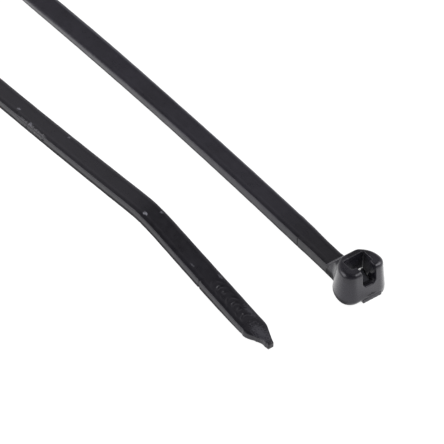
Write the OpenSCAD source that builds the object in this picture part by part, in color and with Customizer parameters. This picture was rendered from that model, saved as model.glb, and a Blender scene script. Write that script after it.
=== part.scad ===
/* [Strap] */
// Length of the tie laid out straight, from the front of the head to the tip
tie_length = 203; // [195:1:240]
// Width of the strap
strap_w = 2.4; // [2.2:0.1:2.8]
// Thickness of the strap along its run
strap_t = 1.2; // [1.05:0.05:1.3]
// Extra thickness of the stretch beside the head
root_extra_t = 0.13; // [0.05:0.01:0.3]
// Length of the thicker stretch beside the head
root_length = 4.5; // [3:0.1:12]
// Depth of the recessed channel on the upper face
channel_depth = 0.24; // [0.1:0.02:0.4]
// Width of each rail beside the channel
rail_w = 0.32; // [0.2:0.02:0.5]
// Slope run of each channel wall
channel_draft = 0.1; // [0.05:0.01:0.2]
// Bevel on the strap's long edges
edge_bevel = 0.08; // [0.04:0.01:0.14]

/* [Tail] */
// Thickness of the tail at its nib
nib_t = 0.8; // [0.6:0.05:1]
// Width of the blunt nib
nib_w = 0.75; // [0.5:0.05:1.2]
// Length of the taper from the shoulders to the nib
taper_length = 2.2; // [1.6:0.1:3]
// Number of finger grips across the channel
grip_count = 7; // [3:1:8]
// Spacing of the finger grips
grip_pitch = 0.86; // [0.8:0.02:1.1]
// Width of each grip along the strap
grip_w = 0.3; // [0.2:0.02:0.4]
// Distance of the first grip from the tip
grip_start = 4.6; // [3.4:0.1:6]
// Height that each grip stays below the rails
grip_sink = 0.06; // [0.02:0.01:0.1]

/* [Lie of the folded strap] */
// Length of the strand that leaves the head
head_run = 60; // [50:1:70]
// Sideways turn of that strand over its length
head_run_turn = 3.9; // [0:0.1:8]
// Twist of that strand at its far end
head_run_twist = 18; // [5:1:30]
// Radius of the fold, where the strap stands on its edge
bend_r = 7.2; // [5:0.05:9]
// Length of the tail strand from the twist to the tip
tail_run = 64.7; // [56:0.1:72]
// Sideways turn of the tail strand at the crease
crease_turn = 4.7; // [0:0.1:8]
// Distance of the crease from the tip
crease_from_tip = 20.5; // [18:0.5:26]
// Height of the strap's middle line at the crease
crease_z = 3.75; // [2:0.05:4]

/* [Head] */
// Height of the head
head_h = 4.18; // [3.9:0.02:4.6]
// Radius of the head at its base
head_base_r = 2.72; // [2.64:0.02:2.9]
// Radius of the head just under its rim
head_rim_r = 2.52; // [2.44:0.02:2.6]
// Distance of the flat front from the head's middle
front_flat = 1.5; // [1.45:0.05:1.7]
// Radius of the upright corners beside the flat front
front_corner_r = 1.45; // [0.9:0.05:1.45]
// Rounding of the rim
rim_round = 0.56; // [0.4:0.02:0.64]
// Rounding of the base's edge
base_round = 0.48; // [0.3:0.02:0.5]
// Radius of the hollow flare from the strap to the head
flare_r = 1.3; // [0.9:0.1:2]
// Land between the end of the channel and the foot of the ramp
land_w = 0.28; // [0.2:0.02:0.5]
// Wall between the passage and the top of the ramp
ramp_wall = 0.6; // [0.5:0.05:0.7]
// Width of the moulding gate's trace low on the front face
gate_w = 1.8; // [1.2:0.1:2.2]
// Height of the gate's trace
gate_h = 0.44; // [0.3:0.02:0.6]

/* [Passage and notch] */
// Clearance beside the strap in its passage, each side
passage_side_gap = 0.15; // [0.1:0.01:0.25]
// Clearance over the strap's thickness in its passage
passage_t_gap = 0.3; // [0.2:0.02:0.45]
// Lead-in around the lower mouth of the passage
lead_in = 0.18; // [0.1:0.02:0.25]
// Width of the notch in the front wall
notch_w = 1.72; // [1.4:0.02:1.9]
// Depth of the notch below the rim
notch_depth = 1.95; // [1.7:0.05:2.1]
// Bevel in the lower corners of the notch
notch_bevel = 0.36; // [0.2:0.02:0.5]

/* [Locking barb] */
// Width of the barb's blade
barb_w = 0.95; // [0.7:0.05:1.2]
// Thickness of the barb's blade
barb_t = 0.22; // [0.16:0.02:0.28]
// Slope of the blade below level
barb_slope = 30; // [24:1:36]
// Depth by which the tip reaches into the channel floor of a threaded strap
barb_bite = 0.08; // [0.04:0.01:0.15]
// Depth of the tip below the rim
barb_tip_drop = 1; // [0.9:0.02:1.1]
// Depth by which the barb's leg is moulded into the front wall
barb_seat = 0.9; // [0.5:0.05:1.1]
// Distance of the leg behind the flat front
barb_cover = 0.5; // [0.42:0.02:0.56]

/* [Hidden] */
$fn = 64;
// Depth by which cutting shapes run past the faces that they cut
past = 0.4;

// Passage: centred on the origin, open from the base to the rim
passage_l = strap_t + passage_t_gap;
passage_w = strap_w + 2*passage_side_gap;
// The head's middle lies just behind the passage's front wall, with room for the barb ahead of it
head_lag = 0.05;
head_x = passage_l/2 - head_lag;
front_x = head_x + front_flat;
root_t = strap_t + root_extra_t;

// The flare: hollow arcs that touch the strap's sides and the head's base circle
flare_y = strap_w/2 + flare_r;
flare_x = head_x - sqrt(pow(head_base_r + flare_r, 2) - flare_y*flare_y);
// The ramp rises from its foot on the strap to the rim behind the passage
ramp_top_x = -passage_l/2 - ramp_wall;
neck_run = 0.85;
ramp_foot_x = flare_x - neck_run;
ramp_slope = (head_h - root_t)/(ramp_top_x - ramp_foot_x);
strap_x = ramp_foot_x - land_w;
strap_length = tie_length - (front_x - strap_x);

// Plan route of the strap's middle line, from the head: [length, turn] for each leg
fold_turn = 179;
fold_length = PI*bend_r*fold_turn/180;
leg_length = (strap_length - head_run - fold_length - tail_run)/2;
crease_leg = 14;
legs = [
    [head_run, head_run_turn],
    [leg_length, 0],
    [fold_length, fold_turn],
    [leg_length + tail_run - crease_from_tip - crease_leg/2, 1.8],
    [crease_leg/2, 1.3],
    [crease_leg, -crease_turn],
    [crease_from_tip - crease_leg, -0.3],
];

// Shares of the twist: the power law of the head strand and the length of the last untwisting
twist_power = 1.5;
untwist_length = leg_length + 3;
fold_start = head_run + leg_length;
fold_end = fold_start + fold_length;
rise_power = 1.8;
crease_soft = 0.7;

// Pose [x, y, heading] after a distance d along an arc of given length and turn
function arc_pose(p, d, length, turn) =
    let (a = turn*d/length)
    let (chord = abs(a) < 0.001 ? d : d*sin(a/2)/(a*PI/360))
    [p[0] + chord*cos(p[2] + a/2), p[1] + chord*sin(p[2] + a/2), p[2] + a];

// Pose of the middle line at the distance s from the end of the channel
function pose(s, i = 0, p = [strap_x, 0, 180]) =
    s <= legs[i][0] || i == len(legs) - 1
        ? arc_pose(p, s, legs[i][0], legs[i][1])
        : pose(s - legs[i][0], i + 1, arc_pose(p, legs[i][0], legs[i][0], legs[i][1]));

function ease(t) = let (c = min(max(t, 0), 1)) c*c*(3 - 2*c);
function mix(a, b, t) = a + (b - a)*t;
function soft_min(a, b, r) = (a + b - sqrt((a - b)*(a - b) + r*r))/2;

// Twist of the section: level by the head, on its edge round the fold, level again in the tail
function head_twist(s) = head_run_twist*pow(max(s, 0)/head_run, twist_power);
function far_twist(s) =
    let (t = (s - head_run)/leg_length)
    let (slope = twist_power*head_run_twist/head_run*leg_length)
    head_run_twist + slope*t*(1 - t)*(1 - t) + (90 - head_run_twist)*ease(t);
function twist(s) =
    s < head_run ? head_twist(s)
    : s < fold_start ? far_twist(s)
    : 90*(1 - ease((s - fold_end)/untwist_length));

// Thickness, width and channel depth along the strap; q is the distance from the tip
function thickness(s) =
    let (q = strap_length - s)
    s < root_length + 0.5 ? mix(root_t, strap_t, ease((s - root_length)/0.5))
    : q < 2*taper_length + grip_start ? mix(nib_t, strap_t, ease(q/(2*taper_length + grip_start)))
    : strap_t;
function width(s) =
    let (q = strap_length - s)
    mix(nib_w, strap_w, min(q/taper_length, 1));
function grip_at(s) =
    let (q = strap_length - s - grip_start)
    let (n = min(max(round(q/grip_pitch), 0), grip_count - 1))
    abs(q - n*grip_pitch) <= grip_w/2 + 0.001;
function depth(s) =
    let (q = strap_length - s)
    s <= 0 || q < grip_start - grip_pitch/2 ? 0
    : grip_at(s) ? grip_sink
    : channel_depth;

// Height of the middle line: resting on the surface, or raised towards the tail's crease
function rest_z(s) = thickness(s)/2*abs(cos(twist(s))) + width(s)/2*abs(sin(twist(s)));
function raised_z(q) =
    let (q_far = strap_length - fold_end)
    let (up = strap_w/2 + (crease_z - strap_w/2)*pow(max((q_far - q)/(q_far - crease_from_tip), 0), rise_power))
    let (down = strap_t/2 + (crease_z - strap_t/2)*pow(q/crease_from_tip, 2))
    soft_min(up, down, crease_soft) + (q < crease_from_tip ? 0.04*(crease_from_tip - q)/crease_from_tip : 0.04);
function mid_z(s) = s < fold_end ? rest_z(s) : max(rest_z(s), raised_z(strap_length - s));

// Cross-section points [across, up] of the strap at s, from the lower left round to the upper left
function section(s) =
    let (w = width(s)/2, t = thickness(s)/2, b = edge_bevel, d = depth(s))
    let (rail = w - min(rail_w, w*0.4), floor_w = rail - channel_draft)
    [[-w, b - t], [b - w, -t], [w - b, -t], [w, b - t], [w, t - b], [w - b, t],
     [rail, t], [floor_w, t - d], [-floor_w, t - d], [-rail, t], [b - w, t], [-w, t - b]];

// One ring of the strap in space
function ring(s) =
    let (p = pose(s), z = mid_z(s), slope = atan((mid_z(s + 0.05) - mid_z(s - 0.05))/0.1), f = twist(s))
    let (side = [-sin(p[2]), cos(p[2]), 0])
    let (up = [-cos(p[2])*sin(slope), -sin(p[2])*sin(slope), cos(slope)])
    let (across = -side*cos(f) + up*sin(f), rise = up*cos(f) + side*sin(f))
    [for (c = section(s)) [p[0], p[1], z] + across*c[0] + rise*c[1]];

// The barrel's radius at a height below the rounded rim
function barrel_r(z) =
    mix(head_base_r, head_rim_r, min(max((z - base_round)/(head_h - rim_round - base_round), 0), 1));

// The neck's last open ring lies behind the rim, and a smaller ring inside the barrel ends it
neck_end_x = ramp_top_x - 0.12;
neck_core_x = ramp_top_x + 0.3;
neck_core_share = 0.75;
// The head's back is cut this far below the ramp
ramp_lap = 0.03;

// Half width of the flare at a place x and a height z, and the height of the ramp
function flare_half_w(x, z) =
    x < flare_x ? strap_w/2
    : let (r = norm([head_x - flare_x, flare_y]) - barrel_r(z)) flare_y - sqrt(r*r - pow(x - flare_x, 2));
function ramp_z(x) = root_t + (x - ramp_foot_x)*ramp_slope;
function neck_section(x, w, v, h, c) =
    let (b = edge_bevel)
    [[x, -w, b], [x, b - w, 0], [x, w - b, 0], [x, w, b],
     [x, v, h - c], [x, v - 0.3*c, h - 0.3*c], [x, v - c, h], [x, 0.8*(v - c), h],
     [x, -0.8*(v - c), h], [x, c - v, h], [x, 0.3*c - v, h - 0.3*c], [x, -v, h - c]];
function neck_ring(x) =
    let (h = ramp_z(x), c = mix(edge_bevel, rim_round, ease(1.6*(x - ramp_foot_x)/(neck_end_x - ramp_foot_x))))
    neck_section(x, flare_half_w(x, 0), flare_half_w(x, h - c), h, c);
function neck_core() =
    let (w = neck_core_share*flare_half_w(neck_end_x, head_h))
    neck_section(neck_core_x, w, w, head_h - rim_round - edge_bevel, edge_bevel);

// Solid through a list of rings with the same number of points
module skin(rings) {
    n = len(rings[0]);
    last = (len(rings) - 1)*n;
    points = [for (r = rings) for (p = r) p];
    sides = [for (k = [0:len(rings) - 2]) for (i = [0:n - 1])
        let (a = k*n + i, b = k*n + (i + 1)%n) each [[a, b, b + n], [a, b + n, a + n]]];
    start_cap = [[for (i = [n - 1:-1:0]) i]];
    end_cap = [[for (i = [0:n - 1]) last + i]];
    polyhedron(points, concat(start_cap, sides, end_cap));
}

// Distances of the rings: close together where the strap bends, twists or changes section
grip_edges = [for (i = [grip_count - 1:-1:0]) for (e = [1, -1])
    each [grip_start + i*grip_pitch + e*grip_w/2 + (e > 0 ? 0.06 : 0), grip_start + i*grip_pitch + e*grip_w/2 - (e < 0 ? 0.06 : 0)]];
tail_q = concat(
    [for (q = [crease_from_tip + 6:-1:grip_start + grip_count*grip_pitch + 0.4]) q],
    grip_edges,
    [grip_start - grip_pitch/2 + 0.03, grip_start - grip_pitch/2 - 0.03],
    [for (i = [6:-1:0]) taper_length*i/6]);
stations = concat(
    [0, 0.12],
    [for (i = [1:3]) root_length*i/3], [root_length + 0.5],
    [for (i = [1:12]) mix(root_length + 0.5, head_run, i/12)],
    [for (i = [1:12]) head_run + leg_length*i/12],
    [for (i = [1:18]) fold_start + fold_length*i/18],
    [for (i = [1:12]) fold_end + leg_length*i/12],
    [for (i = [1:8]) mix(fold_end + leg_length, strap_length - crease_from_tip - 6.5, i/8)],
    [for (q = tail_q) strap_length - q]);

module strap() {
    neck_x = concat([for (i = [7:-1:0]) mix(flare_x, neck_end_x, i/7)], [ramp_foot_x]);
    skin(concat([neck_core()], [for (x = neck_x) neck_ring(x)], [for (s = stations) ring(s)]));
}

// Outline of the head seen from above, set in by a distance: a circle, a flat front and rounded front corners
corner_x = front_flat - front_corner_r;
corner_y = sqrt(pow(head_base_r - front_corner_r, 2) - corner_x*corner_x);
corner_turn = atan2(corner_y, corner_x);
function half_outline(inset) = concat(
    [for (i = [0:21]) let (a = mix(180, corner_turn, i/22)) (head_base_r - inset)*[cos(a), sin(a)]],
    [for (i = [0:7]) let (a = corner_turn*(1 - i/7))
        [corner_x, corner_y] + (front_corner_r - inset)*[cos(a), sin(a)]]);
function barrel_ring(z, inset) =
    let (half = half_outline(inset), n = len(half))
    [for (p = concat(half, [for (i = [n - 1:-1:1]) [half[i][0], -half[i][1]]])) [head_x + p[0], p[1], z]];

// Head with rounded rim and base, trimmed by the ramp
module head_block() {
    difference() {
        skin(concat(
            [for (a = [-90:15:0]) barrel_ring(base_round*(1 + sin(a)), base_round*(1 - cos(a)))],
            [for (a = [0:15:90]) barrel_ring(
                head_h - rim_round*(1 - sin(a)), head_base_r - head_rim_r + rim_round*(1 - cos(a)))]));
        rotate([90, 0, 0]) translate([0, 0, -head_base_r - past]) linear_extrude(2*(head_base_r + past))
            polygon([[ramp_foot_x, root_t - ramp_lap], [ramp_top_x + past/ramp_slope, head_h + past - ramp_lap],
                     [ramp_top_x, head_h + 2*past], [ramp_foot_x, head_h + past]]);
    }
}

// Trace of the moulding gate, which fills the rounding low on the front face
gate_y = 0.2;
gate_proud = 0.03;
gate_lift = 0.02;
module gate_trace() {
    run = base_round + 0.2;
    translate([front_x + gate_proud - run, gate_y - gate_w/2, gate_lift]) cube([run, gate_w, gate_h]);
}

module passage_cut() {
    translate([-passage_l/2, -passage_w/2, -past]) cube([passage_l, passage_w, head_h + 2*past]);
    hull() {
        translate([-passage_l/2 - lead_in, -passage_w/2 - lead_in, -0.05])
            cube([passage_l + 2*lead_in, passage_w + 2*lead_in, 0.05]);
        translate([-passage_l/2, -passage_w/2, 0]) cube([passage_l, passage_w, 2*lead_in]);
    }
}

module notch_cut() {
    z0 = head_h - notch_depth;
    rotate([90, 0, 90])
        linear_extrude(front_x + past)
            polygon([[-notch_w/2, head_h + past], [-notch_w/2, z0 + notch_bevel], [notch_bevel - notch_w/2, z0],
                     [notch_w/2 - notch_bevel, z0], [notch_w/2, z0 + notch_bevel], [notch_w/2, head_h + past]]);
}

// Side view of the barb: a sharpened blade that slopes down to a leg in the front wall
barb_tip_x = -passage_l/2 + strap_t - channel_depth - barb_bite;
barb_tip_z = head_h - barb_tip_drop;
barb_knee_x = front_x - barb_cover;
barb_knee_z = barb_tip_z - (barb_knee_x - barb_tip_x)*tan(barb_slope);
barb_foot_z = head_h - notch_depth - barb_seat;
module barb_blank() {
    lift = barb_t/cos(barb_slope);
    back_x = barb_knee_x - barb_t;
    rotate([90, 0, 0]) translate([0, 0, -barb_w/2]) linear_extrude(barb_w)
        polygon([[barb_tip_x, barb_tip_z], [barb_tip_x + 0.3, barb_tip_z - 0.3*tan(barb_slope) - lift],
                 [back_x, barb_knee_z + barb_t*tan(barb_slope) - lift], [back_x, barb_foot_z],
                 [barb_knee_x, barb_foot_z], [barb_knee_x, barb_knee_z]]);
}

module tie_body() {
    color([0.055, 0.055, 0.06]) difference() {
        union() {
            strap();
            head_block();
            gate_trace();
        }
        passage_cut();
        notch_cut();
        barb_blank();
    }
}

module locking_barb() {
    color([0.78, 0.79, 0.8]) barb_blank();
}

tie_body();
locking_barb();
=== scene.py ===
"""Cable tie lying on a white table: a moulded nylon strap and head with a steel locking barb.

The strap is a numpy sweep of a channel section along the same route as the part's solids. The head and its
neck are a signed distance shape turned into a mesh and moved onto the true surface. All lengths in this file
are in millimetres, also in the materials; the meshes are made in metres in the frame of the part.
"""

import logging
import math
from collections.abc import Callable
from dataclasses import dataclass, field
from enum import Enum

import bpy
import numpy as np
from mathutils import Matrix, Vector


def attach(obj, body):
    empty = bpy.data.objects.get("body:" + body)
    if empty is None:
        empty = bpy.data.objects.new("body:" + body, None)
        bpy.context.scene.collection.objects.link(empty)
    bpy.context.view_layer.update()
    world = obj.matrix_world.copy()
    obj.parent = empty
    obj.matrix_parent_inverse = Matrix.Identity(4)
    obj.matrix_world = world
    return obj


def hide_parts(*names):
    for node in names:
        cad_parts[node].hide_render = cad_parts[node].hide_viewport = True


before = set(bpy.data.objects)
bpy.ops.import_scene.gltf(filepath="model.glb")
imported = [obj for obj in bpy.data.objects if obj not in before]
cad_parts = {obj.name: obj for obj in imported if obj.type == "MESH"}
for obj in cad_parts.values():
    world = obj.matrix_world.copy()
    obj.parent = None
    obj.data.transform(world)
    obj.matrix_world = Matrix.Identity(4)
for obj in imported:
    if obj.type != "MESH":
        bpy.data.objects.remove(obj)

LOG = logging.getLogger("cable_tie")
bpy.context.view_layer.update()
MM = 0.001

Array = np.ndarray
Field = Callable[[Array, Array, Array], Array]
Point = tuple[float, float, float]
Colour = tuple[float, float, float, float]
Span = tuple[float, float, float, float]
Socket = bpy.types.NodeSocket


# ---- sizes


@dataclass(frozen=True)
class Taper:
    """One side of the tip: how far past the taper it begins, its power and the radius of its shoulder."""

    extra: float
    power: float
    shoulder: float


@dataclass(frozen=True)
class StrapSizes:
    """Cross-section of the strap and its tail."""

    tie_length: float = 203.0
    width: float = 2.4
    thickness: float = 1.2
    head_strand_extra: float = 0.11
    head_strand_fade: float = 8.0
    channel_depth: float = 0.02
    channel_end: float = 4.0
    channel_draft: float = 0.4
    crown_drop: float = 0.09
    crown_run: float = 0.55
    rail: float = 0.34
    edge_r: float = 0.09
    foot_r: float = 0.08
    nib_thickness: float = 0.8
    nib_width: float = 0.55
    taper_length: float = 2.2
    left_taper: Taper = Taper(0.1, 1.12, 0.16)
    right_taper: Taper = Taper(0.75, 1.45, 0.1)
    grip_count: int = 7
    grip_pitch: float = 0.86
    grip_start: float = 4.6
    grip_width: float = 0.40
    grip_sink: float = 0.055
    grip_arch: float = 0.3

    @property
    def root_thickness(self) -> float:
        """Thickness of the strap beside the head."""
        return self.thickness + self.head_strand_extra


@dataclass(frozen=True)
class EdgeSizes:
    """How far the strap's worn edges stand out, and where: a start and a run along the strap."""

    spread: float = 0.1
    wave: float = 0.010
    head_start: float = 2.6
    head_run: float = 3.0
    growth: float = 0.9
    growth_start: float = 28.0
    growth_run: float = 20.0
    fold_start: float = 58.0
    fold_end: float = 122.0
    fold_fade: float = 7.0
    middle: float = 90.0


@dataclass(frozen=True)
class GateSizes:
    """Torn trace of the moulding gate at the foot of the front.

    The faces lie in the middle of the cells of the head's mesh grid. A torn face on a plane of that grid would
    give edges that four faces share, so a change of these sizes or of the grid needs that looked at again.
    """

    width: float = 2.42
    height: float = 0.53
    y: float = 0.49
    lift: float = 0.01
    back: float = 0.3
    half_depth: float = 0.334
    edge_r: float = 0.05
    tear: float = 0.020
    fine_tear: float = 0.006
    whole_z: float = 0.2


@dataclass(frozen=True)
class HeadSizes:
    """Head, neck, passage and notch. The origin is the middle of the passage."""

    height: float = 4.18
    base_r: float = 2.86
    rim_r: float = 2.52
    barrel_back: float = 0.05
    front_flat: float = 1.5
    front_corner_r: float = 1.45
    rim_round: float = 0.56
    rim_corner: float = 0.12
    base_round: float = 0.78
    base_start: float = 0.75
    base_run: float = 1.3
    base_edge: float = 0.2
    base_edge_x: tuple[float, float] = (0.5, 1.0)
    base_edge_y: tuple[float, float] = (-0.3, 1.1)
    flare_r: float = 1.5
    land: float = 0.28
    neck_run: float = 0.56
    neck_round: float = 0.11
    neck_round_run: float = 1.15
    neck_foot: float = 0.07
    neck_end: float = 0.03
    ramp_wall: float = 0.6
    ramp_fillet: float = 0.4
    passage_length: float = 1.5
    passage_width: float = 2.7
    passage_corner: float = 0.12
    lead_in: float = 0.18
    notch_width: float = 1.72
    notch_depth: float = 2.08
    notch_y: float = 0.14
    notch_bevel: float = 0.36
    notch_corner: float = 0.1
    lip_round: float = 0.09
    proud: float = 0.006
    gate: GateSizes = GateSizes()

    @property
    def centre_x(self) -> float:
        """Middle of the barrel, just ahead of the passage."""
        return self.passage_length / 2 - self.barrel_back

    @property
    def front_x(self) -> float:
        """Flat front face."""
        return self.centre_x + self.front_flat

    @property
    def ramp_top_x(self) -> float:
        """Where the ramp reaches the rim."""
        return -self.passage_length / 2 - self.ramp_wall

    def flare_centre(self, strap_width: float) -> tuple[float, float]:
        """Centre of the concave flare that joins the strap's side to the barrel.

        Args:
            strap_width: Width of the strap.

        Returns:
            The centre's x and y; the other flare mirrors it.
        """
        y = strap_width / 2 + self.flare_r
        x = self.centre_x - math.sqrt((self.base_r + self.flare_r) ** 2 - y * y)
        return x, y


@dataclass(frozen=True)
class RouteSizes:
    """How the strap lies: a head run, a fold on its edge and a creased tail run; turns in degrees."""

    head_run: float = 60.0
    head_run_turn: float = 3.9
    head_run_twist: float = 18.0
    twist_power: float = 1.5
    untwist_extra: float = 3.0
    bend_r: float = 7.2
    fold_turn: float = 179.0
    tail_run: float = 64.7
    tail_turn: float = 1.8
    approach_turn: float = 1.3
    crease_turn: float = -4.7
    tip_turn: float = -0.3
    crease_from_tip: float = 20.5
    crease_leg: float = 14.0
    crease_height: float = 3.75
    crease_soft: float = 0.7
    rise_power: float = 1.8
    tail_lift: float = 0.04


# ---- maths


def ease(t: Array) -> Array:
    """Smooth step from 0 to 1: three times the square less twice the cube, held outside 0 to 1."""
    c = np.clip(t, 0.0, 1.0)
    return c * c * (3 - 2 * c)


def mix(a: float | Array, b: float | Array, t: float | Array) -> Array:
    """Straight blend from a at t = 0 to b at t = 1."""
    return a + (b - a) * t


def soft_min(a: Array, b: Array, radius: float) -> Array:
    """Lower of two heights with the corner between them rounded."""
    return (a + b - np.sqrt((a - b) ** 2 + radius * radius)) / 2


def round_and(a: Array, b: Array, radius: float | Array) -> Array:
    """Distance to the overlap of two shapes, its outer edge rounded by the radius."""
    corner = np.hypot(np.maximum(a + radius, 0), np.maximum(b + radius, 0))
    return np.minimum(np.maximum(a, b), -radius) + corner


def round_or(a: Array, b: Array, radius: float | Array) -> Array:
    """Distance to the union of two shapes, its inner corner filled by the radius."""
    corner = np.hypot(np.maximum(radius - a, 0), np.maximum(radius - b, 0))
    return np.maximum(np.minimum(a, b), radius) - corner


def ripple(t: Array, seed: float) -> Array:
    """Slow irregular wave between about -1 and 1, the mean of three sines with unrelated pitches."""
    return (np.sin(t * 1.31 + seed) + np.sin(t * 2.17 + 2.3 * seed) + np.sin(t * 3.71 + 4.1 * seed)) / 3


# ---- route


@dataclass
class Route:
    """Middle line of the strap: plan arcs, twist, height and section sizes at a distance s from the head."""

    strap: StrapSizes
    head: HeadSizes
    sizes: RouteSizes
    start_x: float = field(init=False)
    length: float = field(init=False)
    fold_start: float = field(init=False)
    fold_end: float = field(init=False)
    leg: float = field(init=False)
    ramp_foot_x: float = field(init=False)

    def __post_init__(self) -> None:
        """Work out the lengths of the arcs and the pose at the start of each."""
        r = self.sizes
        flare_x, _ = self.head.flare_centre(self.strap.width)
        self.ramp_foot_x = flare_x - self.head.neck_run
        self.start_x = self.ramp_foot_x - self.head.land
        self.length = self.strap.tie_length - (self.head.front_x - self.start_x)
        fold = math.pi * r.bend_r * r.fold_turn / 180
        self.leg = (self.length - r.head_run - fold - r.tail_run) / 2
        self.fold_start = r.head_run + self.leg
        self.fold_end = self.fold_start + fold
        before = self.leg + r.tail_run - r.crease_from_tip - r.crease_leg / 2
        legs = [
            (r.head_run, r.head_run_turn),
            (self.leg, 0.0),
            (fold, r.fold_turn),
            (before, r.tail_turn),
            (r.crease_leg / 2, r.approach_turn),
            (r.crease_leg, r.crease_turn),
            (r.crease_from_tip - r.crease_leg, r.tip_turn),
        ]
        self._legs = np.array([(length, math.radians(turn)) for length, turn in legs])
        self._starts = np.concatenate([[0.0], np.cumsum(self._legs[:-1, 0])])
        poses = [np.array([self.start_x, 0.0, math.pi])]
        for length, turn in self._legs[:-1]:
            poses.append(self._arc(poses[-1][None], np.array([length]), length, turn)[0])
        self._poses = np.array(poses)

    @staticmethod
    def _arc(pose: Array, d: Array, length: float | Array, turn: float | Array) -> Array:
        """Pose after a distance d on an arc: the chord is d times sin(half angle) over the half angle.

        Args:
            pose: One row of x, y and heading at the start of each arc.
            d: Distances from the start.
            length: Lengths of the arcs.
            turn: Turns of the arcs, in radians.

        Returns:
            One row of x, y and heading for each distance.
        """
        angle = turn * d / length
        chord = d * np.sinc(angle / (2 * np.pi))
        heading = pose[:, 2] + angle / 2
        return np.column_stack(
            [pose[:, 0] + chord * np.cos(heading), pose[:, 1] + chord * np.sin(heading), pose[:, 2] + angle]
        )

    def at(self, s: float) -> float:
        """Distance from the head; a value below zero counts back from the tip."""
        return s if s > 0 else self.length + s

    def pose(self, s: Array) -> Array:
        """Plan pose at s.

        Args:
            s: Distances along the strap.

        Returns:
            One row of x, y and heading for each distance.
        """
        i = np.clip(np.searchsorted(self._starts, s, side="right") - 1, 0, len(self._starts) - 1)
        return self._arc(self._poses[i], s - self._starts[i], self._legs[i, 0], self._legs[i, 1])

    def twist(self, s: Array) -> Array:
        """Twist of the section in degrees: level by the head, on its edge round the fold, level in the tail.

        Args:
            s: Distances along the strap.

        Returns:
            The twist at each distance.
        """
        r = self.sizes
        near = r.head_run_twist * (np.maximum(s, 0) / r.head_run) ** r.twist_power
        t = (s - r.head_run) / self.leg
        slope = r.twist_power * r.head_run_twist / r.head_run * self.leg
        far = r.head_run_twist + slope * t * (1 - t) ** 2 + (90 - r.head_run_twist) * ease(t)
        back = 90 * (1 - ease((s - self.fold_end) / (self.leg + r.untwist_extra)))
        return np.where(s < r.head_run, near, np.where(s < self.fold_start, far, back))

    def thickness(self, s: Array) -> Array:
        """Thickness at s: a little more in the head's strand, less in the nib.

        Args:
            s: Distances along the strap.

        Returns:
            The thickness at each distance.
        """
        k = self.strap
        q = self.length - s
        fade = ease((s - self.sizes.head_run) / k.head_strand_fade)
        tail = 2 * k.taper_length + k.grip_start
        nib = mix(k.nib_thickness, k.thickness, ease(q / tail))
        return np.where(q < tail, nib, mix(k.root_thickness, k.thickness, fade))

    def half_width(self, s: Array, side: int) -> Array:
        """Half width on one side: constant, then a round shoulder and a slightly hollow taper to the nib.

        Args:
            s: Distances along the strap.
            side: 1 for the right side, -1 for the left.

        Returns:
            The half width at each distance.
        """
        k = self.strap
        taper = k.right_taper if side > 0 else k.left_taper
        t = np.maximum(self.length - s, 0) / (k.taper_length + taper.extra)
        share = soft_min(t**taper.power, np.ones_like(t), taper.shoulder)
        return mix(k.nib_width, k.width, share) / 2

    def rest_height(self, s: Array) -> Array:
        """Height of the middle line where the twisted section just touches the table.

        Args:
            s: Distances along the strap.

        Returns:
            The height at each distance.
        """
        f = np.radians(self.twist(s))
        width = self.half_width(s, 1) + self.half_width(s, -1)
        return self.thickness(s) / 2 * np.abs(np.cos(f)) + width / 2 * np.abs(np.sin(f))

    def raised_height(self, q: Array) -> Array:
        """Height of the creased tail at the distance q from the tip: a power curve up, a parabola down.

        Args:
            q: Distances from the tip.

        Returns:
            The height at each distance.
        """
        r, k = self.sizes, self.strap
        q_far = self.length - self.fold_end
        climb = np.maximum((q_far - q) / (q_far - r.crease_from_tip), 0)
        up = k.width / 2 + (r.crease_height - k.width / 2) * climb**r.rise_power
        down = k.thickness / 2 + (r.crease_height - k.thickness / 2) * (q / r.crease_from_tip) ** 2
        lift = r.tail_lift * np.clip((r.crease_from_tip - q) / r.crease_from_tip, 0, 1)
        return soft_min(up, down, r.crease_soft) + np.where(q < r.crease_from_tip, lift, r.tail_lift)

    def height(self, s: Array) -> Array:
        """Height of the middle line at s.

        Args:
            s: Distances along the strap.

        Returns:
            The height at each distance.
        """
        rest = self.rest_height(s)
        raised = np.maximum(rest, self.raised_height(self.length - s))
        return np.where(s < self.fold_end, rest, raised)

    def frames(self, s: Array) -> tuple[Array, Array, Array]:
        """Local axes of the section.

        Args:
            s: Distances along the strap.

        Returns:
            The middle points, and the unit vectors across and up from the strap.
        """
        p = self.pose(s)
        z = self.height(s)
        d = 0.05
        slope = np.arctan((self.height(s + d) - self.height(s - d)) / (2 * d))
        cos_h, sin_h = np.cos(p[:, 2]), np.sin(p[:, 2])
        side = np.column_stack([-sin_h, cos_h, np.zeros_like(z)])
        up = np.column_stack([-cos_h * np.sin(slope), -sin_h * np.sin(slope), np.cos(slope)])
        f = np.radians(self.twist(s))[:, None]
        across = -side * np.cos(f) + up * np.sin(f)
        rise = up * np.cos(f) + side * np.sin(f)
        return np.column_stack([p[:, 0], p[:, 1], z]), across, rise


# ---- meshes


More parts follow.
